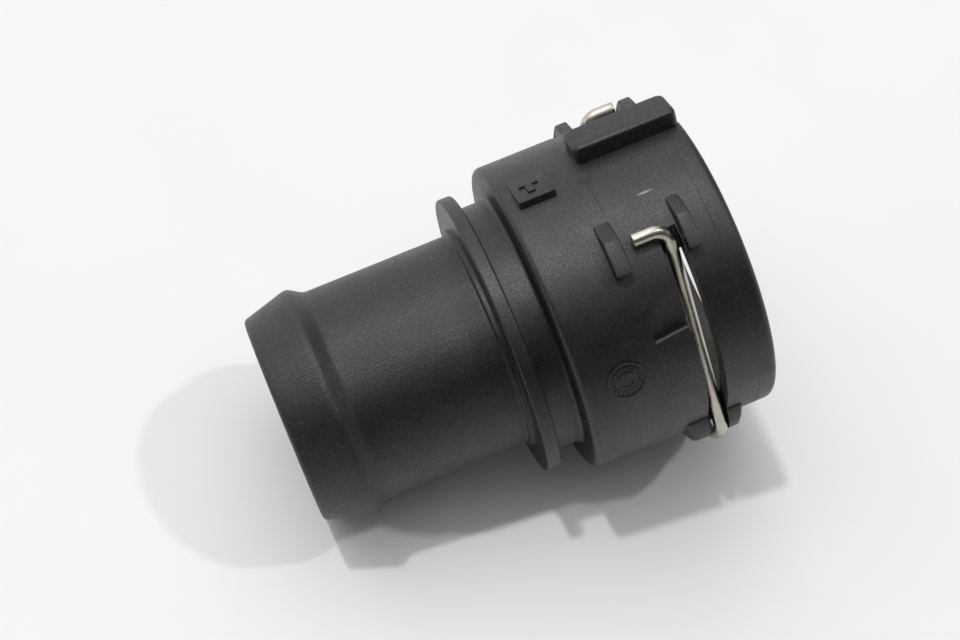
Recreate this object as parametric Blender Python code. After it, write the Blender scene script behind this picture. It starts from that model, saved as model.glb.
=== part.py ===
"""Female quick-connect hose coupling with a wire retaining clip.

One moulded body carries a hose spigot at one end and a plug socket at the other. Two seal rings, a
spacer and a snap-in retainer sit inside the socket. A U-shaped spring wire straddles the socket in two
side slots, and its ends are bent along the socket, one towards the hose and one towards the mouth.

Local axes before the part is laid down: x runs from the hose end to the socket mouth, z points from
the clip's bow to the guide rib, and the front of the socket faces -y. Everything is in metres.
"""
import math

import bmesh
import bpy
from mathutils import Matrix, Vector

MM = 0.001

# Hose spigot
SPIGOT_R = 16.5 * MM
BEAD_R = 17.8 * MM
FLOW_R = 13.5 * MM
# Stop flange and neck
FLANGE_X0, FLANGE_X1, FLANGE_R = 33.1 * MM, 35.25 * MM, 21.75 * MM
NECK_R = 19.35 * MM
# Socket
SOCKET_X0, SOCKET_X1, SOCKET_R = 39.75 * MM, 68.7 * MM, 24.0 * MM
NOSE_R = 17.2 * MM          # pilot bore for the plug's nose
GLAND_R = 20.0 * MM         # bore that holds the seals
MOUTH_R = 21.2 * MM         # bore for the plug's collar
GLAND_X0, GLAND_X1 = 43.0 * MM, 57.3 * MM
# Wire clip
WIRE_R = 1.0 * MM
CLIP_X = 59.22 * MM         # where the clip's plane meets the axis
CLIP_LEAN = 0.012           # the bow sits this much nearer the mouth for each mm below the axis
CLIP_HALF = 17.75 * MM      # half the distance between the legs
BOW_R, BOW_Z = 23.6 * MM, -3.22 * MM        # shallow bow and the height of its centre
CORNER_R = 3.0 * MM         # corner between a leg and the bow
END_Z = 18.3 * MM           # height of the bent ends
END_REACH = 5.15 * MM       # from the clip's plane to a bent end's tip
END_BEND = 2.4 * MM
FLEX_ANGLE = 25.5           # degrees from the bow's middle to a flex point
SLOT_X0, SLOT_X1 = 57.6 * MM, 60.65 * MM
SLOT_GAP = 0.3 * MM
# Lugs beside the bent ends, as x ranges
FRONT_LUGS = ((49.85 * MM, 52.3 * MM), (60.8 * MM, 62.85 * MM))
REAR_LUGS = ((54.5 * MM, 56.5 * MM), (64.95 * MM, 66.95 * MM))
LUG_R = 26.15 * MM          # reach of the lugs and guides from the axis
# Bow guides: ramps up from the socket between two angles from +z
GUIDE_FOOT, GUIDE_CREST, GUIDE_END = 127.5, 138.5, 146.0
# How the part lies on a table: roll about its own axis, then a tilt that lowers the hose end
ROLL = -30.4
TILT = -10.44

SIDES = 80


def clear_scene():
    for ob in list(bpy.data.objects):
        bpy.data.objects.remove(ob, do_unlink=True)


def material(name, color, roughness, metallic=0.0):
    mat = bpy.data.materials.new(name)
    mat.use_nodes = True
    bsdf = mat.node_tree.nodes["Principled BSDF"]
    bsdf.inputs["Base Color"].default_value = (*color, 1.0)
    bsdf.inputs["Roughness"].default_value = roughness
    bsdf.inputs["Metallic"].default_value = metallic
    return mat


def object_from(bm, name, mat=None, smooth_deg=32.0):
    bmesh.ops.recalc_face_normals(bm, faces=bm.faces)
    mesh = bpy.data.meshes.new(name)
    bm.to_mesh(mesh)
    bm.free()
    ob = bpy.data.objects.new(name, mesh)
    bpy.context.collection.objects.link(ob)
    if mat is not None:
        mesh.materials.append(mat)
    shade(ob, smooth_deg)
    return ob


def shade(ob, smooth_deg):
    mesh = ob.data
    bm = bmesh.new()
    bm.from_mesh(mesh)
    limit = math.radians(smooth_deg)
    for f in bm.faces:
        f.smooth = True
    for e in bm.edges:
        e.smooth = len(e.link_faces) == 2 and e.calc_face_angle(0.0) < limit
    bm.to_mesh(mesh)
    bm.free()


def lathe(name, profile, mat, sides=SIDES):
    """Turn a closed loop of (x, radius) points about the x axis."""
    bm = bmesh.new()
    rings = []
    for i in range(sides):
        a = 2 * math.pi * i / sides
        rings.append([bm.verts.new((x, r * math.sin(a), r * math.cos(a))) for x, r in profile])
    n = len(profile)
    for i in range(sides):
        ring, nxt = rings[i], rings[(i + 1) % sides]
        for j in range(n):
            k = (j + 1) % n
            bm.faces.new((ring[j], ring[k], nxt[k], nxt[j]))
    return object_from(bm, name, mat)


def prism(name, outline, x0, x1, side=1, slope0=0.0, slope1=0.0):
    """Extrude a (front, z) outline from x0 to x1; side 1 is the front, -1 the rear.

    slope0 and slope1 tilt the ends: x changes by that much for each mm outwards from the socket.
    """
    out_v, out_w = polar(1.0, GUIDE_CREST)
    bm = bmesh.new()
    first, last = [], []
    for v, w in outline:
        out = v * out_v + w * out_w - SOCKET_R
        first.append(bm.verts.new((x0 + slope0 * out, -side * v, w)))
        last.append(bm.verts.new((x1 + slope1 * out, -side * v, w)))
    bm.faces.new(first)
    bm.faces.new(last)
    n = len(outline)
    for i in range(n):
        j = (i + 1) % n
        bm.faces.new((first[i], first[j], last[j], last[i]))
    return object_from(bm, name)


def polar(radius, degrees):
    """(front, z) point at an angle from +z towards the front."""
    a = math.radians(degrees)
    return radius * math.sin(a), radius * math.cos(a)


def arc(radius, a0, a1, steps):
    return [polar(radius, a0 + (a1 - a0) * i / steps) for i in range(steps + 1)]


def half_turn(ob):
    """Turn an object half a turn about the z line through the middle of the slots."""
    middle = (SLOT_X0 + SLOT_X1) / 2
    turn = Matrix.Translation((middle, 0, 0)) @ Matrix.Rotation(math.pi, 4, "Z")
    ob.data.transform(turn @ Matrix.Translation((-middle, 0, 0)))
    return ob


def combine(target, tool, operation):
    mod = target.modifiers.new(tool.name, "BOOLEAN")
    mod.operation = operation
    mod.solver = "EXACT"
    mod.object = tool
    tool.hide_render = True
    tool.display_type = "WIRE"
    bpy.context.view_layer.objects.active = target
    bpy.ops.object.modifier_apply(modifier=mod.name)
    bpy.data.objects.remove(tool, do_unlink=True)


def tidy(ob, mat, smooth_deg=32.0):
    bm = bmesh.new()
    bm.from_mesh(ob.data)
    bmesh.ops.remove_doubles(bm, verts=bm.verts, dist=0.00001)
    bmesh.ops.dissolve_degenerate(bm, edges=bm.edges, dist=0.000005)
    bmesh.ops.recalc_face_normals(bm, faces=bm.faces)
    bm.to_mesh(ob.data)
    bm.free()
    ob.data.materials.clear()
    ob.data.materials.append(mat)
    for p in ob.data.polygons:
        p.material_index = 0
    shade(ob, smooth_deg)


def body_profile():
    s = SOCKET_R
    outer = [
        (0.0, 15.3 * MM), (0.9 * MM, 16.15 * MM), (3.6 * MM, 16.8 * MM), (6.2 * MM, 17.5 * MM),
        (7.1 * MM, BEAD_R), (7.8 * MM, BEAD_R), (8.6 * MM, 17.4 * MM), (9.6 * MM, 16.75 * MM),
        (10.6 * MM, SPIGOT_R), (32.2 * MM, SPIGOT_R), (32.4 * MM, 17.2 * MM), (FLANGE_X0, 17.2 * MM),
        (FLANGE_X0, FLANGE_R - 0.2 * MM), (FLANGE_X0 + 0.2 * MM, FLANGE_R),
        (FLANGE_X1 - 0.2 * MM, FLANGE_R), (FLANGE_X1, FLANGE_R - 0.2 * MM),
        (FLANGE_X1, NECK_R), (SOCKET_X0 - 0.7 * MM, NECK_R), (SOCKET_X0 - 0.2 * MM, NECK_R + 0.25 * MM),
        (SOCKET_X0, NECK_R + 0.8 * MM), (SOCKET_X0, s - 1.0 * MM), (SOCKET_X0 + 0.3 * MM, s - 0.35 * MM),
        (SOCKET_X0 + 1.0 * MM, s), (SOCKET_X1 - 1.3 * MM, s), (SOCKET_X1 - 0.45 * MM, s - 0.35 * MM),
        (SOCKET_X1, s - 1.1 * MM),
    ]
    inner = [
        (SOCKET_X1, MOUTH_R + 0.5 * MM), (SOCKET_X1 - 0.6 * MM, MOUTH_R), (GLAND_X1, MOUTH_R),
        (GLAND_X1, GLAND_R), (56.3 * MM, GLAND_R), (56.1 * MM, GLAND_R + 0.6 * MM),
        (55.0 * MM, GLAND_R + 0.6 * MM), (54.8 * MM, GLAND_R), (GLAND_X0, GLAND_R),
        (GLAND_X0, NOSE_R), (36.6 * MM, NOSE_R), (36.6 * MM, FLOW_R + 1.0 * MM), (35.6 * MM, FLOW_R),
        (0.5 * MM, FLOW_R), (0.0, FLOW_R + 0.5 * MM),
    ]
    return outer + inner


def guide_rib():
    top, half = 26.5 * MM, 3.0 * MM
    bm = bmesh.new()
    bmesh.ops.create_cube(bm, size=1.0)
    for v in bm.verts:
        v.co = Vector((60.3 * MM + v.co.x * 15.8 * MM, v.co.y * 2 * half,
                       22.6 * MM + (v.co.z + 0.5) * (top - 22.6 * MM)))
    edges = [e for e in bm.edges if any(v.co.z > top - 0.1 * MM for v in e.verts)]
    bmesh.ops.bevel(bm, geom=edges, offset=0.7 * MM, segments=3, profile=0.5, affect="EDGES")
    return object_from(bm, "rib")


def side_lug(x0, x1, side):
    inner = [(12.9 * MM, 20.0 * MM), (17.45 * MM, 19.45 * MM)]
    outer = arc(LUG_R, 43.0, 52.6, 4) + [(21.07 * MM, 15.45 * MM), (17.4 * MM, 15.45 * MM)]
    return prism("lug", inner + outer, x0, x1, side)


def bow_guide(x0, x1, slope0, slope1):
    """Ramp beside a slot that leads the bow over the socket."""
    root = SOCKET_R - 1.6 * MM
    outline = [polar(root, GUIDE_FOOT), polar(SOCKET_R, GUIDE_FOOT)]
    outline += arc(LUG_R, GUIDE_CREST, GUIDE_END, 4) + [polar(root, GUIDE_END)]
    return prism("guide", outline, x0, x1, 1, slope0, slope1)


def wire_slot():
    inside, bottom, top = CLIP_HALF - WIRE_R - SLOT_GAP, -29.0 * MM, 21.0 * MM
    outline = [(inside, top), (inside, bottom), (30.0 * MM, bottom), (30.0 * MM, top)]
    return prism("slot", outline, SLOT_X0, SLOT_X1)


def end_pocket():
    """Recess beside the slot in which a bent end parks when the clip is pulled right out."""
    bm = bmesh.new()
    x0, x1, z0, z1 = 52.1 * MM, SLOT_X0 + 0.2 * MM, 3.8 * MM, 13.5 * MM
    deep0, deep1, out = -22.1 * MM, -21.2 * MM, -26.0 * MM
    pts = [(x0, deep0, z0), (x1, deep1, z0), (x1, out, z0), (x0, out, z0),
           (x0, deep0, z1), (x1, deep1, z1), (x1, out, z1), (x0, out, z1)]
    v = [bm.verts.new(p) for p in pts]
    for f in ((0, 1, 2, 3), (4, 5, 6, 7), (0, 1, 5, 4), (1, 2, 6, 5), (2, 3, 7, 6), (3, 0, 4, 7)):
        bm.faces.new([v[i] for i in f])
    return object_from(bm, "pocket")


def mark_pad():
    outline = [(0.3 * MM, 22.0 * MM), (7.0 * MM, 22.0 * MM), (7.0 * MM, 24.1 * MM), (0.3 * MM, 24.1 * MM)]
    return prism("pad", outline, 42.0 * MM, 47.6 * MM)


def direction_arrow():
    """Small raised arrow on the pad."""
    cx, z0, z1 = 44.5 * MM, 23.9 * MM, 24.3 * MM
    shape = [(0, 1.7), (1.5, 3.7), (0.6, 3.7), (0.6, 5.2), (-0.6, 5.2), (-0.6, 3.7), (-1.5, 3.7)]
    bm = bmesh.new()
    low = [bm.verts.new((cx + a * MM, -b * MM, z0)) for a, b in shape]
    high = [bm.verts.new((cx + a * MM, -b * MM, z1)) for a, b in shape]
    bm.faces.new(low)
    bm.faces.new(high)
    for i in range(len(shape)):
        j = (i + 1) % len(shape)
        bm.faces.new((low[i], low[j], high[j], high[i]))
    return object_from(bm, "arrow")


def keyway():
    bm = bmesh.new()
    bmesh.ops.create_cube(bm, size=1.0)
    for v in bm.verts:
        v.co = Vector((64.0 * MM + v.co.x * 11.0 * MM, v.co.y * 3.6 * MM, 22.0 * MM + v.co.z * 4.4 * MM))
    return object_from(bm, "keyway")


def coupling_body(mat):
    body = lathe("coupling_body", body_profile(), mat)
    combine(body, guide_rib(), "UNION")
    combine(body, mark_pad(), "UNION")
    combine(body, direction_arrow(), "UNION")
    for side, lugs in ((1, FRONT_LUGS), (-1, REAR_LUGS)):
        for x0, x1 in lugs:
            combine(body, side_lug(x0, x1, side), "UNION")
    overlap = 0.2 * MM
    hose_side = (54.3 * MM, SLOT_X0 + overlap, 0.55, 0.0)
    mouth_side = (SLOT_X1 - overlap, 63.1 * MM, 0.0, -0.33)
    for guide in (hose_side, mouth_side):
        combine(body, bow_guide(*guide), "UNION")
        combine(body, half_turn(bow_guide(*guide)), "UNION")
    combine(body, keyway(), "DIFFERENCE")
    for cutter in (wire_slot, end_pocket):
        combine(body, cutter(), "DIFFERENCE")
        combine(body, half_turn(cutter()), "DIFFERENCE")
    tidy(body, mat)
    return body


def seal_ring(name, centre_x, mat):
    loop = []
    for i in range(10):
        a = 2 * math.pi * i / 10
        loop.append((centre_x + 1.5 * MM * math.cos(a), 18.15 * MM + 1.5 * MM * math.sin(a)))
    return lathe(name, loop, mat, 48)


def spacer_ring(mat):
    x0, x1, r0, r1 = 46.65 * MM, 48.95 * MM, 17.2 * MM, 19.65 * MM
    c = 0.25 * MM
    loop = [(x0, r0 + c), (x0 + c, r0), (x1 - c, r0), (x1, r0 + c),
            (x1, r1 - c), (x1 - c, r1), (x0 + c, r1), (x0, r1 - c)]
    return lathe("spacer_ring", loop, mat, 48)


def retainer_ring(mat):
    """Snap-in ring that keeps the seals in; its bead clicks into the groove in the bore."""
    loop = [(52.6 * MM, 17.5 * MM), (52.85 * MM, 17.25 * MM), (55.6 * MM, 17.25 * MM),
            (57.0 * MM, 18.1 * MM), (57.0 * MM, 19.65 * MM), (56.0 * MM, 19.65 * MM),
            (55.8 * MM, 20.25 * MM), (55.3 * MM, 20.25 * MM), (54.9 * MM, 19.65 * MM),
            (52.85 * MM, 19.65 * MM), (52.6 * MM, 19.4 * MM)]
    return lathe("retainer_ring", loop, mat, 48)


def tube(name, path, radius, mat, sides=12):
    """Round wire along a path, with flat cut ends."""
    pts = [Vector(p) for p in path]
    tangents = []
    for i in range(len(pts)):
        a, b = pts[max(i - 1, 0)], pts[min(i + 1, len(pts) - 1)]
        tangents.append((b - a).normalized())
    side = tangents[0].orthogonal().normalized()
    bm = bmesh.new()
    rings = []
    for p, t in zip(pts, tangents):
        side = (side - t * side.dot(t)).normalized()
        up = t.cross(side)
        ring = []
        for k in range(sides):
            a = 2 * math.pi * k / sides
            ring.append(bm.verts.new(p + (side * math.cos(a) + up * math.sin(a)) * radius))
        rings.append(ring)
    for r0, r1 in zip(rings, rings[1:]):
        for k in range(sides):
            m = (k + 1) % sides
            bm.faces.new((r0[k], r0[m], r1[m], r1[k]))
    bm.faces.new(rings[0])
    bm.faces.new(rings[-1])
    return object_from(bm, name, mat)


def leaned(v, z, x=0.0):
    """Point of the clip at a distance v to the front and a height z, x from the clip's plane."""
    return Vector((CLIP_X + x - CLIP_LEAN * z, -v, z))


def bow_point(degrees):
    """Point on the bow, measured from its lowest point towards the front."""
    a = math.radians(degrees)
    return leaned(BOW_R * math.sin(a), BOW_Z - BOW_R * math.cos(a))


def flex_point(front):
    return bow_point(FLEX_ANGLE if front else -FLEX_ANGLE)


def clip_bow(mat):
    gap = 0.4
    steps = 10
    span = FLEX_ANGLE - gap
    path = [bow_point(-span + 2 * span * i / steps) for i in range(steps + 1)]
    return tube("clip_bow", path, WIRE_R, mat)


def leg_path(side):
    """A leg: the rest of the bow, a corner, the straight leg in its slot, then the bent end."""
    corner_v = CLIP_HALF - CORNER_R
    corner_z = BOW_Z - math.sqrt((BOW_R - CORNER_R) ** 2 - corner_v ** 2)
    bow_end = math.degrees(math.asin(corner_v / (BOW_R - CORNER_R)))
    start = FLEX_ANGLE + 0.4
    path = [bow_point(side * (start + (bow_end - start) * i / 4)) for i in range(4)]
    for i in range(5):
        a = math.radians(bow_end + (90.0 - bow_end) * i / 4)
        path.append(leaned(side * (corner_v + CORNER_R * math.sin(a)), corner_z - CORNER_R * math.cos(a)))
    turn_z = END_Z - END_BEND
    path.append(leaned(side * CLIP_HALF, (turn_z + corner_z) / 2))
    for i in range(7):
        a = math.radians(90.0 * i / 6)
        path.append(leaned(side * CLIP_HALF, turn_z + END_BEND * math.sin(a),
                           -side * END_BEND * (1 - math.cos(a))))
    path.append(leaned(side * CLIP_HALF, END_Z, -side * END_REACH))
    return path


def clip_leg(name, front, mat):
    """Leg with its origin on the flex line where it joins the bow."""
    path = leg_path(1 if front else -1)
    pivot = flex_point(front)
    ob = tube(name, [p - pivot for p in path], WIRE_R, mat)
    ob.location = pivot
    return ob


def lay_down(objects):
    """Turn every piece from the local axes to the way the part lies on a table, and lift it onto z = 0."""
    bpy.context.view_layer.update()
    turn = Matrix.Rotation(math.radians(TILT), 4, "Y") @ Matrix.Rotation(math.radians(ROLL), 4, "X")
    for ob in objects:
        ob.matrix_world = turn @ ob.matrix_world
    bpy.context.view_layer.update()
    corners = [ob.matrix_world @ v.co for ob in objects for v in ob.data.vertices]
    low = Vector([min(c[i] for c in corners) for i in range(3)])
    high = Vector([max(c[i] for c in corners) for i in range(3)])
    shift = Matrix.Translation((-(low.x + high.x) / 2, -(low.y + high.y) / 2, -low.z))
    for ob in objects:
        ob.matrix_world = shift @ ob.matrix_world
    bpy.context.view_layer.update()


def build():
    clear_scene()
    black = material("black_polyamide", (0.035, 0.036, 0.04), 0.55)
    rubber = material("seal_rubber", (0.02, 0.02, 0.02), 0.75)
    natural = material("natural_polyamide", (0.72, 0.7, 0.62), 0.5)
    steel = material("spring_wire", (0.75, 0.72, 0.66), 0.22, 1.0)
    parts = [
        coupling_body(black),
        seal_ring("seal_ring_inner", 44.8 * MM, rubber),
        spacer_ring(natural),
        seal_ring("seal_ring_outer", 50.8 * MM, rubber),
        retainer_ring(natural),
        clip_bow(steel),
        clip_leg("clip_leg_front", True, steel),
        clip_leg("clip_leg_rear", False, steel),
    ]
    lay_down(parts)


build()
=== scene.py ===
import math

import bmesh
import bpy
from mathutils import Matrix, Vector


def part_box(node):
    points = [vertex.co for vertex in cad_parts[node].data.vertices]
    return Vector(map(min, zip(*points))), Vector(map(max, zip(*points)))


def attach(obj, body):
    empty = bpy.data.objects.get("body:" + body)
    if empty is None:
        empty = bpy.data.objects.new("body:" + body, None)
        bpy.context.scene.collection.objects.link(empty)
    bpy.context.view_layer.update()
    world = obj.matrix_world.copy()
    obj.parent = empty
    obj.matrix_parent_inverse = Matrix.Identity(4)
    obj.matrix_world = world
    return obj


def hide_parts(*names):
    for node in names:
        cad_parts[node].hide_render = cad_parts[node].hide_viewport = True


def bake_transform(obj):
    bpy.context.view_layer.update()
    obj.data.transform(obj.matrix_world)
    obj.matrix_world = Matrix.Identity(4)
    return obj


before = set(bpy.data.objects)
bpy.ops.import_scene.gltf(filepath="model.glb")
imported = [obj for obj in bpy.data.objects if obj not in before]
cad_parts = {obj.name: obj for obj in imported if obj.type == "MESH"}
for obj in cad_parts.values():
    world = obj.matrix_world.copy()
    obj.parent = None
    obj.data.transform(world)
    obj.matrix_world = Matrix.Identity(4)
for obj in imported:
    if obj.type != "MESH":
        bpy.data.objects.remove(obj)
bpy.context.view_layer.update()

MM = 0.001

# Hose spigot, in mm from here on unless a name says otherwise
SPIGOT_R, BEAD_R, FLOW_R = 16.5, 17.95, 13.5
# Stop flange and neck
FLANGE_X0, FLANGE_X1, FLANGE_R = 33.1, 35.25, 21.75
NECK_R = 19.35
# Socket
SOCKET_X0, SOCKET_X1, SOCKET_R = 39.75, 68.7, 24.0
NOSE_R, GLAND_R, MOUTH_R = 17.2, 20.0, 21.2
GLAND_X0, GLAND_X1 = 43.0, 57.3
# Seals
SEAL_R, SEAL_HALF = 18.15, 1.5
INNER_SEAL_X, OUTER_SEAL_X = 44.8, 50.8
# Wire clip
WIRE_R = 1.0
CLIP_X, CLIP_HALF = 59.22, 17.75
CLIP_LEAN = 0.012           # the bow sits this much nearer the mouth for each mm below the axis
BOW_R, BOW_Z, CORNER_R = 23.6, -3.22, 3.0
END_Z, END_REACH, END_BEND = 18.3, 5.15, 2.4
SLOT_X0, SLOT_X1, SLOT_GAP = 57.6, 60.65, 0.3
# Lugs beside the bent ends, as x ranges, and the bow guides' angles from +z
FRONT_LUGS = ((49.85, 52.3), (60.8, 62.85))
REAR_LUGS = ((54.5, 56.5), (64.95, 66.95))
LUG_R = 26.15
GUIDE_FOOT, GUIDE_CREST, GUIDE_END = 127.5, 138.5, 146.0
# Edges of the mould's side inserts, which leave a fine step round the socket
RECESS_X0, RECESS_X1 = 52.2, 65.65
RECESS_DEPTH, RECESS_EDGE = 0.05, 0.06
RECESS_FROM, RECESS_TO = 14.0, 138.0        # degrees from +z, on the front and on the rear
# Guide rib, keyway behind it, and the pad with the direction arrow
RIB_X0, RIB_X1, RIB_HALF, RIB_TOP = 52.4, 68.2, 3.0, 26.5
RIB_FOOT, RIB_CORNER, RIB_EDGE = 22.6, 1.0, 0.65
PAD_X0, PAD_X1, PAD_Y0, PAD_Y1, PAD_TOP = 42.0, 47.6, -7.0, -0.3, 24.1
ARROW_X, ARROW_TOP = 44.6, 24.36
# Round date insert on the front of the socket
DIAL_X, DIAL_Z, DIAL_R, DIAL_FLOOR = 46.6, 1.0, 2.9, 23.9
DIAL_SIDES, DIAL_TICKS = 48, 20
# How the coupling lies, in degrees
ROLL, TILT = -30.4, -10.44

SIDES, RING_SIDES, WIRE_SIDES = 180, 128, 28    # facets of the body, of the rings inside it and of the wire
ARC_STEP = 15.0         # degrees of turn for each step round a rounded corner
LONGEST_SIDE = 2.6      # of the body's outline, so that its facets stay short
BEVEL_ANGLE = 28.0      # degrees; an edge sharper than this is rounded


def laid_down():
    """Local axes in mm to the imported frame, from the way the part lies and where its inner seal is."""
    turn = Matrix.Rotation(math.radians(TILT), 4, "Y") @ Matrix.Rotation(math.radians(ROLL), 4, "X")
    low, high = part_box("seal_ring_inner")
    offset = (low + high) / 2 - turn @ Vector((INNER_SEAL_X * MM, 0, 0))
    return Matrix.Translation(offset) @ turn


PLACE = laid_down()


# ---------------------------------------------------------------- outlines and solids

def rounded(corners, step=ARC_STEP):
    """Closed outline through (x, y, radius) corners, each corner rounded to its radius."""
    out = []
    for i, (x, y, radius) in enumerate(corners):
        p = Vector((x, y))
        if radius == 0:
            out.append(p)
            continue
        to_last = (Vector(corners[i - 1][:2]) - p).normalized()
        to_next = (Vector(corners[(i + 1) % len(corners)][:2]) - p).normalized()
        half = to_last.angle(to_next) / 2
        centre = p + (to_last + to_next).normalized() * (radius / math.sin(half))
        first = p + to_last * (radius / math.tan(half)) - centre
        last = p + to_next * (radius / math.tan(half)) - centre
        turn = math.atan2(first.cross(last), first.dot(last))
        steps = max(2, math.ceil(abs(math.degrees(turn)) / step))
        for k in range(steps + 1):
            a = turn * k / steps
            c, s = math.cos(a), math.sin(a)
            out.append(centre + Vector((first.x * c - first.y * s, first.x * s + first.y * c)))
    return out


def densified(loop, longest):
    """The same closed outline with no side longer than the given length."""
    out = []
    for i, p in enumerate(loop):
        q = loop[(i + 1) % len(loop)]
        parts = max(1, math.ceil((q - p).length / longest))
        out += [p.lerp(q, k / parts) for k in range(parts)]
    return out


def polar(radius, degrees):
    """(front, z) point at an angle from +z towards the front."""
    a = math.radians(degrees)
    return radius * math.sin(a), radius * math.cos(a)


def arc(radius, a0, a1, steps):
    return [polar(radius, a0 + (a1 - a0) * i / steps) for i in range(steps + 1)]


def object_from(bm, name, mats=(), sharp_deg=30.0):
    bmesh.ops.recalc_face_normals(bm, faces=bm.faces)
    mesh = bpy.data.meshes.new(name)
    bm.to_mesh(mesh)
    bm.free()
    for mat in mats:
        mesh.materials.append(mat)
    mesh.shade_smooth()
    mesh.set_sharp_from_angle(angle=math.radians(sharp_deg))
    ob = bpy.data.objects.new(name, mesh)
    bpy.context.collection.objects.link(ob)
    return ob


def lathe(name, loop, sides=SIDES, mats=(), relief=None):
    """Turn a closed loop of (x, radius) points about the x axis; relief(x, r, degrees) may lower a point."""
    bm = bmesh.new()
    rings = []
    for i in range(sides):
        degrees = 360.0 * i / sides
        a = math.radians(degrees)
        ring = []
        for x, r in loop:
            r -= relief(x, r, degrees) if relief else 0.0
            ring.append(bm.verts.new((x, -r * math.sin(a), r * math.cos(a))))
        rings.append(ring)
    for i in range(sides):
        ring, nxt = rings[i], rings[(i + 1) % sides]
        for j in range(len(loop)):
            k = (j + 1) % len(loop)
            bm.faces.new((ring[j], ring[k], nxt[k], nxt[j]))
    return object_from(bm, name, mats)


def prism(name, first, last, edge=0.0, segments=3):
    """Solid between two outlines of 3-D points, with its sharp edges rounded to the radius edge."""
    bm = bmesh.new()
    a = [bm.verts.new(p) for p in first]
    b = [bm.verts.new(p) for p in last]
    bm.faces.new(a)
    bm.faces.new(b)
    for i in range(len(a)):
        j = (i + 1) % len(a)
        bm.faces.new((a[i], a[j], b[j], b[i]))
    bmesh.ops.recalc_face_normals(bm, faces=bm.faces)
    if edge > 0:
        sharp = [e for e in bm.edges if e.calc_face_angle(0.0) > math.radians(BEVEL_ANGLE)]
        bmesh.ops.bevel(bm, geom=sharp, offset=edge, segments=segments, profile=0.5, affect="EDGES")
    return object_from(bm, name)


def slab(name, outline, x0, x1, edge=0.0, side=1, slope0=0.0, slope1=0.0):
    """(front, z) outline as a slab from x0 to x1 on the front, or on the rear where side is -1.

    slope0 and slope1 tilt the ends: x changes by that much for each mm outwards from the socket.
    """
    out_v, out_w = polar(1.0, GUIDE_CREST)
    first, last = [], []
    for v, w in outline:
        out = v * out_v + w * out_w - SOCKET_R
        first.append((x0 + slope0 * out, -side * v, w))
        last.append((x1 + slope1 * out, -side * v, w))
    return prism(name, first, last, edge)


def block(name, x0, x1, y0, y1, z0, z1, edge=0.0, segments=3):
    plan = [(x0, y0), (x1, y0), (x1, y1), (x0, y1)]
    return prism(name, [(x, y, z0) for x, y in plan], [(x, y, z1) for x, y in plan], edge, segments)


def half_turn(ob):
    """Turn an object half a turn about the z line through the middle of the slots."""
    middle = (SLOT_X0 + SLOT_X1) / 2
    turn = Matrix.Translation((middle, 0, 0)) @ Matrix.Rotation(math.pi, 4, "Z")
    ob.data.transform(turn @ Matrix.Translation((-middle, 0, 0)))
    return ob


def both_sides(make):
    """The tool on the front of the socket and its twin on the rear."""
    return [make(), half_turn(make())]


def apply_tools(body, tools, operation):
    """Join the tools to the body, or cut them out of it, all at once."""
    group = bpy.data.collections.new(operation.lower())
    for tool in tools:
        group.objects.link(tool)
    mod = body.modifiers.new(operation.lower(), "BOOLEAN")
    mod.operation = operation
    mod.solver = "EXACT"
    mod.operand_type = "COLLECTION"
    mod.collection = group
    bpy.context.view_layer.update()
    evaluated = body.evaluated_get(bpy.context.evaluated_depsgraph_get())
    mesh = bpy.data.meshes.new_from_object(evaluated)
    body.modifiers.clear()
    body.data = mesh
    for tool in tools:
        bpy.data.objects.remove(tool, do_unlink=True)
    bpy.data.collections.remove(group)


# ---------------------------------------------------------------- moulded body

def body_loop():
    corners = [
        (0.0, 15.85, 0.9), (7.45, BEAD_R, 1.6), (9.75, SPIGOT_R, 1.9),
        (32.25, SPIGOT_R, 0.25), (32.35, 17.2, 0.2), (FLANGE_X0, 17.2, 0.12),
        (FLANGE_X0, FLANGE_R, 0.35), (FLANGE_X1, FLANGE_R, 0.35), (FLANGE_X1, NECK_R, 0.15),
        (SOCKET_X0, NECK_R, 0.7), (SOCKET_X0, SOCKET_R, 1.0),
        (RECESS_X0, SOCKET_R, 0), (RECESS_X0 + RECESS_EDGE, SOCKET_R, 0),
        (RECESS_X1 - RECESS_EDGE, SOCKET_R, 0), (RECESS_X1, SOCKET_R, 0),
        (SOCKET_X1, SOCKET_R, 1.15), (SOCKET_X1, MOUTH_R, 0.6),
        (GLAND_X1, MOUTH_R, 0.15), (GLAND_X1, GLAND_R, 0.2), (56.3, GLAND_R, 0.1),
        (56.1, GLAND_R + 0.6, 0.1), (55.0, GLAND_R + 0.6, 0.1), (54.8, GLAND_R, 0.1),
        (GLAND_X0, GLAND_R, 0.3), (GLAND_X0, NOSE_R, 0.3), (36.6, NOSE_R, 0.3),
        (36.6, FLOW_R + 0.9, 0.4), (35.6, FLOW_R, 0.8), (0.0, FLOW_R, 0.6),
    ]
    return densified(rounded(corners), LONGEST_SIDE)


def insert_step(x, r, degrees):
    """The socket is a hair smaller where the mould's side inserts form it, on the front and the rear."""
    off_top = min(degrees, 360.0 - degrees)
    in_band = RECESS_X0 + RECESS_EDGE - 0.01 < x < RECESS_X1 - RECESS_EDGE + 0.01
    if not in_band or r < SOCKET_R - 0.01 or not RECESS_FROM < off_top < RECESS_TO:
        return 0.0
    return RECESS_DEPTH


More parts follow.
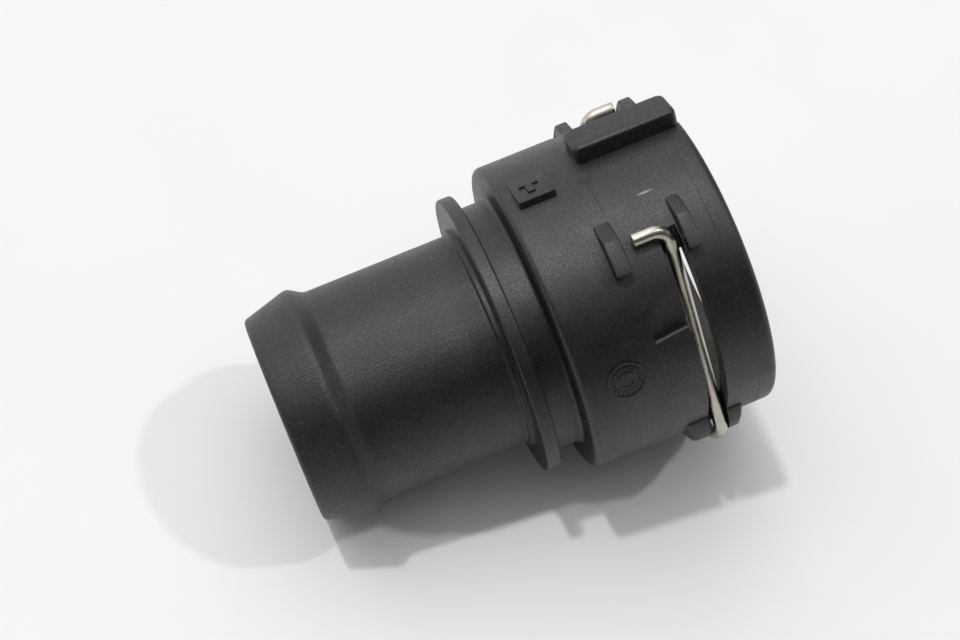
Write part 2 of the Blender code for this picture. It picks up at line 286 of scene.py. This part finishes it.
def rib():
    """Guide rib over the socket, with rounded upright corners and a softer top edge."""
    plan = rounded([(x, y, RIB_CORNER) for x, y in ((RIB_X0, -RIB_HALF), (RIB_X1, -RIB_HALF),
                                                    (RIB_X1, RIB_HALF), (RIB_X0, RIB_HALF))])
    bm = bmesh.new()
    levels = [(RIB_FOOT, 0.0)]
    for k in range(5):
        a = math.radians(90.0 * k / 4)
        levels.append((RIB_TOP - RIB_EDGE * (1 - math.sin(a)), RIB_EDGE * (1 - math.cos(a))))
    mid = Vector(((RIB_X0 + RIB_X1) / 2, 0.0))
    size = Vector(((RIB_X1 - RIB_X0) / 2, RIB_HALF))
    rings = []
    for z, inset in levels:
        ring = []
        for p in plan:
            q = mid + Vector(((p - mid).x * (1 - inset / size.x), (p - mid).y * (1 - inset / size.y)))
            ring.append(bm.verts.new((q.x, q.y, z)))
        rings.append(ring)
    for low, high in zip(rings, rings[1:]):
        for i in range(len(low)):
            j = (i + 1) % len(low)
            bm.faces.new((low[i], low[j], high[j], high[i]))
    bm.faces.new(rings[0])
    bm.faces.new(rings[-1])
    return object_from(bm, "rib")


def parting_groove():
    """Fine line where the mould halves meet, along the top of the rib."""
    half, depth, above = 0.07, 0.06, 0.1
    x0, x1 = RIB_X0 - 0.4, RIB_X1 + 1.3
    section = [(-half, RIB_TOP + above), (half, RIB_TOP + above), (0.0, RIB_TOP - depth)]
    return prism("groove", [(x0, y, z) for y, z in section], [(x1, y, z) for y, z in section])


def side_lug(x0, x1, side):
    outline = [(12.9, 20.0), (17.45, 19.45)] + arc(LUG_R, 43.0, 52.6, 5) + [(21.07, 15.45), (17.4, 15.45)]
    return slab("lug", outline, x0, x1, 0.32, side)


def bow_guide(x0, x1, slope0, slope1):
    """Ramp beside a slot that leads the bow over the socket, with a rounded back."""
    root = SOCKET_R - 1.6
    outline = [polar(root, GUIDE_FOOT), polar(SOCKET_R, GUIDE_FOOT), polar(LUG_R - 0.6, GUIDE_CREST - 5.5)]
    outline += [polar(LUG_R - 0.12, GUIDE_CREST - 1.8)]
    outline += arc(LUG_R, GUIDE_CREST, GUIDE_END, 5) + [polar(root, GUIDE_END)]
    return slab("guide", outline, x0, x1, 0.55, 1, slope0, slope1)


def hose_side_guide():
    return bow_guide(54.3, SLOT_X0 + 0.8, 0.55, 0.0)


def mouth_side_guide():
    return bow_guide(SLOT_X1 - 0.8, 63.15, 0.0, -0.33)


def wire_slot():
    inside, bottom, top = CLIP_HALF - WIRE_R - SLOT_GAP, -29.0, 21.0
    outline = [(inside, top), (inside, bottom), (30.0, bottom), (30.0, top)]
    return slab("slot", outline, SLOT_X0, SLOT_X1)


def end_pocket():
    """Recess beside the slot, with a rounded foot to its lower wall, where a bent end parks."""
    x0, x1, z0, z1 = 52.1, SLOT_X0 + 0.3, 3.8, 13.5
    floor0, floor1, out = -22.1, -21.2, -26.0
    low = [(x0, floor0, z0), (x1, floor1, z0), (x1, out, z0), (x0, out, z0)]
    high = [(x, y, z1) for x, y, _ in low]
    bm = bmesh.new()
    a = [bm.verts.new(p) for p in low]
    b = [bm.verts.new(p) for p in high]
    bm.faces.new(a)
    bm.faces.new(b)
    for i in range(4):
        j = (i + 1) % 4
        bm.faces.new((a[i], a[j], b[j], b[i]))
    foot = [e for e in bm.edges if all(v.co.z < z0 + 0.1 and v.co.y > floor0 - 0.1 for v in e.verts)]
    bmesh.ops.bevel(bm, geom=foot, offset=0.55, segments=4, profile=0.5, affect="EDGES")
    return object_from(bm, "pocket")


def mark_pad():
    return block("pad", PAD_X0, PAD_X1, PAD_Y0, PAD_Y1, SOCKET_R - 2.0, PAD_TOP, 0.22, 2)


def direction_arrow():
    """Raised arrow on the pad that points at the parting plane."""
    point, barb, tail, head_half, stem_half = 1.7, 3.5, 5.4, 1.5, 0.55
    shape = [(0, point), (head_half, barb), (stem_half, barb), (stem_half, tail),
             (-stem_half, tail), (-stem_half, barb), (-head_half, barb)]
    low, high = ([(ARROW_X + a, -b, z) for a, b in shape] for z in (PAD_TOP - 0.1, ARROW_TOP))
    return prism("arrow", low, high, 0.05, 2)


def keyway():
    """Slot for the plug's key, cut through the socket's wall under the mouth end of the rib."""
    return block("keyway", 58.5, 69.5, -1.8, 1.8, 19.8, 24.2, 0.25, 2)


def dial_point(radius, degrees, front):
    a = math.radians(degrees)
    return (DIAL_X + radius * math.sin(a), -front, DIAL_Z + radius * math.cos(a))


def dial_disc():
    """Flat face left by the round date insert in the mould."""
    ring = [360.0 * k / DIAL_SIDES for k in range(DIAL_SIDES)]
    return prism("dial_face", [dial_point(DIAL_R, a, DIAL_FLOOR) for a in ring],
                 [dial_point(DIAL_R, a, SOCKET_R + 1.0) for a in ring])


def dial_marks():
    """Rims, plain ticks and a pointer, raised on the dial's face."""
    low, high = DIAL_FLOOR - 0.3, DIAL_FLOOR + 0.1
    marks = [dial_rim(DIAL_R + 0.02, DIAL_R - 0.2, low, SOCKET_R + 0.02), dial_rim(1.3, 1.12, low, high)]
    for i in range(DIAL_TICKS):
        marks.append(radial_bar(360.0 / DIAL_TICKS * i + 8.0, 1.8, 2.35, 0.08, low, high))
    marks.append(radial_bar(2.0, -0.75, 0.95, 0.12, low, high))
    return marks


def dial_rim(outer, inner, low, high):
    """Raised ring on the dial, between two distances from the coupling's middle plane."""
    loop = [(low, outer), (high, outer), (high, inner), (low, inner)]
    bm = bmesh.new()
    rings = [[bm.verts.new(dial_point(r, 360.0 * i / DIAL_SIDES, f)) for f, r in loop]
             for i in range(DIAL_SIDES)]
    for i in range(DIAL_SIDES):
        ring, nxt = rings[i], rings[(i + 1) % DIAL_SIDES]
        for j in range(4):
            k = (j + 1) % 4
            bm.faces.new((ring[j], ring[k], nxt[k], nxt[j]))
    return object_from(bm, "dial_rim")


def radial_bar(degrees, r0, r1, half, low, high):
    a = math.radians(degrees)
    along = Vector((math.sin(a), 0, math.cos(a)))
    across = Vector((math.cos(a), 0, -math.sin(a)))
    plan = [along * r0 - across * half, along * r1 - across * half,
            along * r1 + across * half, along * r0 + across * half]
    centre = Vector((DIAL_X, 0, DIAL_Z))
    return prism("tick", [centre + p + Vector((0, -low, 0)) for p in plan],
                 [centre + p + Vector((0, -high, 0)) for p in plan])


def coupling_body(mat):
    body = lathe("moulded_body", body_loop(), mats=[mat], relief=insert_step)
    joined = [rib(), mark_pad(), direction_arrow()]
    joined += [side_lug(x0, x1, 1) for x0, x1 in FRONT_LUGS]
    joined += [side_lug(x0, x1, -1) for x0, x1 in REAR_LUGS]
    joined += both_sides(hose_side_guide) + both_sides(mouth_side_guide)
    apply_tools(body, joined, "UNION")
    cut = [parting_groove(), keyway(), dial_disc()] + both_sides(wire_slot) + both_sides(end_pocket)
    apply_tools(body, cut, "DIFFERENCE")
    apply_tools(body, dial_marks(), "UNION")
    finish_surface(body, mat)
    return body


def finish_surface(body, mat):
    """Clean the joined mesh and shade it smooth up to its real edges."""
    bm = bmesh.new()
    bm.from_mesh(body.data)
    bmesh.ops.remove_doubles(bm, verts=bm.verts, dist=0.002)
    bmesh.ops.dissolve_degenerate(bm, edges=bm.edges, dist=0.001)
    bm.to_mesh(body.data)
    bm.free()
    body.data.materials.clear()
    body.data.materials.append(mat)
    for p in body.data.polygons:
        p.material_index = 0
    body.data.shade_smooth()
    body.data.set_sharp_from_angle(angle=math.radians(26.0))


# ---------------------------------------------------------------- seals, spacer and retainer

def seal_ring(name, centre_x, mat):
    """O-ring, round in section."""
    points = 28
    angles = [2 * math.pi * i / points for i in range(points)]
    loop = [(centre_x + SEAL_HALF * math.cos(a), SEAL_R + SEAL_HALF * math.sin(a)) for a in angles]
    return lathe(name, loop, RING_SIDES, [mat])


def spacer_ring(mat):
    x0, x1, r0, r1 = 46.65, 48.95, 17.2, 19.65
    corners = [(x0, r0, 0.3), (x1, r0, 0.3), (x1, r1, 0.3), (x0, r1, 0.3)]
    return lathe("seal_spacer", rounded(corners), RING_SIDES, [mat])


def retainer_ring(mat):
    corners = [(52.6, 17.25, 0.25), (55.5, 17.25, 0.6), (57.0, 18.15, 0.25), (57.0, 19.65, 0.2),
               (56.1, 19.65, 0.1), (55.85, 20.25, 0.12), (55.25, 20.25, 0.12), (54.9, 19.65, 0.1),
               (52.6, 19.65, 0.25)]
    return lathe("seal_retainer", rounded(corners), RING_SIDES, [mat])


# ---------------------------------------------------------------- wire clip

def leaned(v, z, x=0.0):
    """Point of the clip at a distance v to the front and a height z, x from the clip's plane."""
    return Vector((CLIP_X + x - CLIP_LEAN * z, -v, z))


def bow_point(degrees):
    """Point on the bow, measured from its lowest point towards the front."""
    a = math.radians(degrees)
    return leaned(BOW_R * math.sin(a), BOW_Z - BOW_R * math.cos(a))


def half_clip_path(side):
    """Half of the wire: from the bow's middle to a corner, up the leg in its slot, and the bent end."""
    corner_v = CLIP_HALF - CORNER_R
    corner_z = BOW_Z - math.sqrt((BOW_R - CORNER_R) ** 2 - corner_v ** 2)
    bow_end = math.degrees(math.asin(corner_v / (BOW_R - CORNER_R)))
    path = [bow_point(side * bow_end * i / 26) for i in range(26)]
    for i in range(13):
        a = math.radians(bow_end + (90.0 - bow_end) * i / 12)
        path.append(leaned(side * (corner_v + CORNER_R * math.sin(a)), corner_z - CORNER_R * math.cos(a)))
    turn_z = END_Z - END_BEND
    rise = turn_z - corner_z
    path += [leaned(side * CLIP_HALF, corner_z + rise * i / 12) for i in range(1, 12)]
    for i in range(13):
        a = math.radians(90.0 * i / 12)
        sweep = END_BEND * (1 - math.cos(a))
        path.append(leaned(side * CLIP_HALF, turn_z + END_BEND * math.sin(a), -side * sweep))
    straight = END_REACH - END_BEND
    path += [leaned(side * CLIP_HALF, END_Z, -side * (END_BEND + straight * i / 4)) for i in range(1, 5)]
    return path


def wire(name, path, mat):
    """Round wire with a flat end at the seam and a sheared tip, and a UV map that runs along it."""
    burr, uv_length = 0.09, 50.0
    last = len(path) - 1
    tangents = [(path[min(i + 1, last)] - path[max(i - 1, 0)]).normalized() for i in range(last + 1)]
    tip, back = path[-1], tangents[-1]
    stations = [(p, t, WIRE_R) for p, t in zip(path[:-1], tangents[:-1])]
    stations += [(tip - back * burr, back, WIRE_R), (tip - back * burr * 0.3, back, WIRE_R - burr * 0.35),
                 (tip, back, WIRE_R - burr)]
    bm = bmesh.new()
    uv = bm.loops.layers.uv.new("along")
    side = tangents[0].orthogonal().normalized()
    rings, lengths = [], [0.0]
    for i, (p, t, r) in enumerate(stations):
        side = (side - t * side.dot(t)).normalized()
        up = t.cross(side)
        angles = [2 * math.pi * k / WIRE_SIDES for k in range(WIRE_SIDES)]
        rings.append([bm.verts.new(p + (side * math.cos(a) + up * math.sin(a)) * r) for a in angles])
        if i:
            lengths.append(lengths[-1] + (p - stations[i - 1][0]).length)
    for i, (r0, r1) in enumerate(zip(rings, rings[1:])):
        for k in range(WIRE_SIDES):
            m = (k + 1) % WIRE_SIDES
            face = bm.faces.new((r0[k], r0[m], r1[m], r1[k]))
            spots = [(lengths[i], k), (lengths[i], k + 1), (lengths[i + 1], k + 1), (lengths[i + 1], k)]
            for loop, (s, turn) in zip(face.loops, spots):
                loop[uv].uv = (s / uv_length, turn / WIRE_SIDES)
    bm.faces.new(rings[0])
    bm.faces.new(rings[-1])
    return object_from(bm, name, [mat], 40.0)


def clip_halves(mat):
    """The clip as two wires that meet under the socket; each bends from the bow into its leg."""
    pieces = []
    for name, leg, side in (("clip_wire_front", "leg_front", 1), ("clip_wire_rear", "leg_rear", -1)):
        ob = wire(name, half_clip_path(side), mat)
        set_down(ob)
        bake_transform(ob)
        pieces.append(ob)
    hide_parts("clip_bow", "clip_leg_front")
    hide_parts("clip_leg_rear")
    return pieces


# ---------------------------------------------------------------- materials

def new_material(name, color, roughness, metallic=0.0):
    mat = bpy.data.materials.new(name)
    mat.use_nodes = True
    bsdf = mat.node_tree.nodes["Principled BSDF"]
    bsdf.inputs["Base Color"].default_value = (*color, 1.0)
    bsdf.inputs["Roughness"].default_value = roughness
    bsdf.inputs["Metallic"].default_value = metallic
    return mat, mat.node_tree, bsdf


def node(tree, kind, **values):
    made = tree.nodes.new(kind)
    for key, value in values.items():
        if key in made.inputs:
            made.inputs[key].default_value = value
        else:
            setattr(made, key, value)
    return made


def noise(tree, vector, scale, detail=2.0, roughness=0.5):
    made = node(tree, "ShaderNodeTexNoise", Scale=scale, Detail=detail, Roughness=roughness)
    tree.links.new(vector, made.inputs["Vector"])
    return made.outputs["Fac"]


def spread(tree, value, low, high, to_low, to_high):
    """Map a value from one range to another, eased at both ends and clamped."""
    made = node(tree, "ShaderNodeMapRange")
    made.interpolation_type = "SMOOTHSTEP"
    for key, number in zip(("From Min", "From Max", "To Min", "To Max"), (low, high, to_low, to_high)):
        made.inputs[key].default_value = number
    tree.links.new(value, made.inputs["Value"])
    return made.outputs["Result"]


def math_node(tree, operation, a, b):
    made = node(tree, "ShaderNodeMath", operation=operation)
    for socket, value in zip(made.inputs, (a, b)):
        if isinstance(value, float):
            socket.default_value = value
        else:
            tree.links.new(value, socket)
    return made.outputs["Value"]


def mix_color(tree, factor, a, b):
    made = node(tree, "ShaderNodeMix", data_type="RGBA")
    tree.links.new(factor, made.inputs["Factor"])
    for key, value in (("A", a), ("B", b)):
        socket = [s for s in made.inputs if s.name == key and s.type == "RGBA"][0]
        if isinstance(value, tuple):
            socket.default_value = (*value, 1.0)
        else:
            tree.links.new(value, socket)
    return [s for s in made.outputs if s.type == "RGBA"][0]


def object_coordinates(tree):
    """Coordinates in the coupling's own axes, in mm, for a mesh that is already set down."""
    back = PLACE.inverted()
    mapping = node(tree, "ShaderNodeMapping", vector_type="POINT")
    mapping.inputs["Scale"].default_value = (1.0 / MM,) * 3
    mapping.inputs["Rotation"].default_value = back.to_euler("XYZ")
    mapping.inputs["Location"].default_value = back.translation / MM
    tree.links.new(node(tree, "ShaderNodeTexCoord").outputs["Object"], mapping.inputs["Vector"])
    return mapping.outputs["Vector"]


def spark_eroded_plastic():
    """Black glass-filled polyamide: a fine eroded grain with pale specks, coarser on the spigot."""
    mat, tree, bsdf = new_material("black_polyamide", (0.009, 0.009, 0.0095), 0.41)
    bsdf.inputs["Specular IOR Level"].default_value = 0.56
    where = object_coordinates(tree)
    axes = node(tree, "ShaderNodeSeparateXYZ")
    tree.links.new(where, axes.inputs["Vector"])
    on_spigot = spread(tree, axes.outputs["X"], 31.0, 33.0, 1.0, 0.0)
    fine = noise(tree, where, 4.0, 3.0, 0.8)
    coarse = noise(tree, where, 3.3, 3.0, 0.85)
    patches = noise(tree, where, 0.22, 3.0, 0.55)
    grain = node(tree, "ShaderNodeMix")
    tree.links.new(on_spigot, grain.inputs["Factor"])
    tree.links.new(fine, grain.inputs["A"])
    tree.links.new(coarse, grain.inputs["B"])
    bump = node(tree, "ShaderNodeBump", Distance=0.03)
    tree.links.new(spread(tree, on_spigot, 0.0, 1.0, 0.1, 0.16), bump.inputs["Strength"])
    tree.links.new(grain.outputs["Result"], bump.inputs["Height"])
    tree.links.new(bump.outputs["Normal"], bsdf.inputs["Normal"])
    speckle = spread(tree, noise(tree, where, 3.6, 2.0, 0.6), 0.42, 0.68, 0.0, 1.0)
    tone = mix_color(tree, speckle, (0.0015, 0.0015, 0.0017), (0.019, 0.019, 0.0197))
    scuff = scuff_mask(tree, where)
    tree.links.new(mix_color(tree, scuff, tone, (0.26, 0.26, 0.26)), bsdf.inputs["Base Color"])
    rough = math_node(tree, "ADD", spread(tree, patches, 0.3, 0.7, 0.38, 0.44),
                      spread(tree, speckle, 0.0, 1.0, 0.04, -0.04))
    tree.links.new(rough, bsdf.inputs["Roughness"])
    return mat


def scuff_mask(tree, where):
    """Short pale rub mark on the socket, beside the front lugs."""
    angle = math.radians(28.8)
    centre = Vector((58.75, -SOCKET_R * math.sin(angle), SOCKET_R * math.cos(angle)))
    mapping = node(tree, "ShaderNodeMapping", vector_type="TEXTURE")
    mapping.inputs["Location"].default_value = centre
    mapping.inputs["Rotation"].default_value = (-angle, 0.0, 0.0)
    mapping.inputs["Scale"].default_value = (1.7, 0.2, 0.4)
    tree.links.new(where, mapping.inputs["Vector"])
    ball = node(tree, "ShaderNodeTexGradient", gradient_type="SPHERICAL")
    tree.links.new(mapping.outputs["Vector"], ball.inputs["Vector"])
    broken = noise(tree, where, 7.0, 2.0, 0.6)
    return spread(tree, math_node(tree, "MULTIPLY", ball.outputs["Fac"], broken), 0.05, 0.35, 0.0, 0.85)


def seal_rubber():
    """Black moulded rubber with a soft, uneven sheen."""
    mat, tree, bsdf = new_material("seal_rubber", (0.018, 0.018, 0.018), 0.42)
    where = object_coordinates(tree)
    bump = node(tree, "ShaderNodeBump", Distance=0.02, Strength=0.35)
    tree.links.new(noise(tree, where, 2.5, 3.0, 0.6), bump.inputs["Height"])
    tree.links.new(bump.outputs["Normal"], bsdf.inputs["Normal"])
    tree.links.new(spread(tree, noise(tree, where, 0.3, 2.0), 0.3, 0.7, 0.34, 0.52), bsdf.inputs["Roughness"])
    return mat


def natural_polyamide():
    """Uncoloured polyamide, off-white and a little translucent."""
    mat, tree, bsdf = new_material("natural_polyamide", (0.72, 0.69, 0.6), 0.45)
    bsdf.inputs["Subsurface Weight"].default_value = 0.15
    bsdf.inputs["Subsurface Radius"].default_value = (1.0, 0.8, 0.6)
    bsdf.inputs["Subsurface Scale"].default_value = 0.001
    where = object_coordinates(tree)
    tone = mix_color(tree, spread(tree, noise(tree, where, 0.35, 3.0), 0.3, 0.7, 0.0, 1.0),
                     (0.66, 0.62, 0.52), (0.75, 0.72, 0.64))
    tree.links.new(tone, bsdf.inputs["Base Color"])
    bump = node(tree, "ShaderNodeBump", Distance=0.015, Strength=0.4)
    tree.links.new(noise(tree, where, 4.0, 3.0, 0.6), bump.inputs["Height"])
    tree.links.new(bump.outputs["Normal"], bsdf.inputs["Normal"])
    return mat


def spring_steel():
    """Bright drawn stainless wire, slightly warm, with faint marks along it and a few dull stains."""
    mat, tree, bsdf = new_material("spring_wire", (0.62, 0.59, 0.53), 0.2, 1.0)
    uv = node(tree, "ShaderNodeUVMap", uv_map="along").outputs["UV"]
    stretch = node(tree, "ShaderNodeMapping")
    stretch.inputs["Scale"].default_value = (1.5, 24.0, 1.0)
    tree.links.new(uv, stretch.inputs["Vector"])
    marks = noise(tree, stretch.outputs["Vector"], 2.0, 2.0, 0.5)
    bump = node(tree, "ShaderNodeBump", Distance=0.004, Strength=0.12)
    tree.links.new(marks, bump.inputs["Height"])
    tree.links.new(bump.outputs["Normal"], bsdf.inputs["Normal"])
    tree.links.new(spread(tree, marks, 0.3, 0.7, 0.2, 0.27), bsdf.inputs["Roughness"])
    stain = noise(tree, object_coordinates(tree), 0.8, 3.0, 0.6)
    tone = mix_color(tree, spread(tree, stain, 0.45, 0.75, 0.0, 1.0),
                     (0.52, 0.485, 0.42), (0.46, 0.425, 0.36))
    tree.links.new(tone, bsdf.inputs["Base Color"])
    return mat


# ---------------------------------------------------------------- placing

def set_down(ob):
    """Move the mesh of a piece made in local millimetres to where the frame's part lies."""
    ob.data.transform(PLACE @ Matrix.Scale(MM, 4))


def place(ob, body, slot_name, *replaced):
    """Set a piece down on the body it rides, in the place of the nodes it replaces."""
    set_down(ob)
    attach(ob, body)
    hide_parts(*replaced)


def build_object():
    black, rubber = spark_eroded_plastic(), seal_rubber()
    natural, steel = natural_polyamide(), spring_steel()
    place(coupling_body(black), "coupling", "black_polyamide", "coupling_body")
    place(seal_ring("inner_seal", INNER_SEAL_X, rubber), "coupling", "seal_rubber", "seal_ring_inner")
    place(seal_ring("outer_seal", OUTER_SEAL_X, rubber), "coupling", "seal_rubber", "seal_ring_outer")
    place(spacer_ring(natural), "coupling", "natural_polyamide", "spacer_ring")
    place(retainer_ring(natural), "coupling", "natural_polyamide", "retainer_ring")
    clip_halves(steel)


# ---------------------------------------------------------------- floor, lights and camera

def pale_floor():
    """Matt white table top, 6 m across."""
    bm = bmesh.new()
    bmesh.ops.create_grid(bm, x_segments=2, y_segments=2, size=3.0)
    mat, tree, bsdf = new_material("table", (0.79, 0.79, 0.795), 0.6)
    tone = mix_color(tree, spread(tree, noise(tree, object_coordinates(tree), 0.04, 2.0), 0.3, 0.7, 0.0, 1.0),
                     (0.785, 0.785, 0.79), (0.795, 0.795, 0.797))
    tree.links.new(tone, bsdf.inputs["Base Color"])
    bsdf.inputs["Specular IOR Level"].default_value = 0.15
    floor = object_from(bm, "table", [mat])


def direction(azimuth, elevation):
    """Unit vector; azimuth 0 is +x and 90 is +y, in degrees."""
    a, e = math.radians(azimuth), math.radians(elevation)
    return Vector((math.cos(a) * math.cos(e), math.sin(a) * math.cos(e), math.sin(e)))


def distant_light(name, azimuth, elevation, width, strength):
    """Even light from far off, from a disc width degrees across."""
    data = bpy.data.lights.new(name, "SUN")
    data.angle = math.radians(width)
    data.energy = strength
    lamp = bpy.data.objects.new(name, data)
    bpy.context.collection.objects.link(lamp)
    lamp.rotation_euler = direction(azimuth, elevation).to_track_quat("Z", "Y").to_euler()


def surroundings(above, back, ends, front):
    """Studio: pale ceiling, pale behind the object and off both its ends, dark towards the camera."""
    world = bpy.data.worlds.new("studio")
    bpy.context.scene.world = world
    world.use_nodes = True
    tree = world.node_tree
    background = tree.nodes["Background"]
    background.inputs["Color"].default_value = (0.985, 0.99, 1.0, 1.0)
    where = node(tree, "ShaderNodeTexCoord").outputs["Generated"]
    overhead = spread(tree, facing(tree, where, direction(105.0, 79.0)), 0.66, 0.98, 0.0, above)
    behind = spread(tree, facing(tree, where, direction(105.0, 28.0)), 0.4, 0.95, front, back)
    along = math_node(tree, "ABSOLUTE", facing(tree, where, direction(-8.0, 0.0)), 0.0)
    light = math_node(tree, "ADD", math_node(tree, "ADD", overhead, behind),
                      spread(tree, along, 0.75, 1.0, 0.0, ends))
    tree.links.new(light, background.inputs["Strength"])


def facing(tree, where, towards):
    """1 where the view goes towards a direction, 0 square to it and -1 away from it."""
    made = node(tree, "ShaderNodeVectorMath", operation="DOT_PRODUCT")
    tree.links.new(where, made.inputs[0])
    made.inputs[1].default_value = towards
    return made.outputs["Value"]


def camera():
    """75 mm lens that looks down at the front of the part, turned a little about its own axis."""
    azimuth, elevation, roll = math.radians(-30.9), math.radians(60.5), math.radians(9.9)
    back = Vector((math.sin(azimuth) * math.cos(elevation), -math.cos(azimuth) * math.cos(elevation),
                   math.sin(elevation)))
    data = bpy.data.cameras.new("camera")
    data.lens = 75.0
    data.sensor_width = 36.0
    data.clip_start, data.clip_end = 0.01, 20.0
    cam = bpy.data.objects.new("camera", data)
    bpy.context.collection.objects.link(cam)
    cam.location = (-0.0781, -0.12366, 0.28298)
    turn = (-back).to_track_quat("-Z", "Y").to_matrix() @ Matrix.Rotation(roll, 3, "Z")
    cam.rotation_euler = turn.to_euler()
    bpy.context.scene.camera = cam


build_object()
pale_floor()
distant_light("key_from_behind", 136.5, 74.0, 3.0, 0.9)
distant_light("fill_from_right", -11.0, 59.0, 3.0, 0.5)
surroundings(1.15, 1.15, 0.9, 0.06)
camera()
bpy.context.scene.view_settings.view_transform = "Standard"
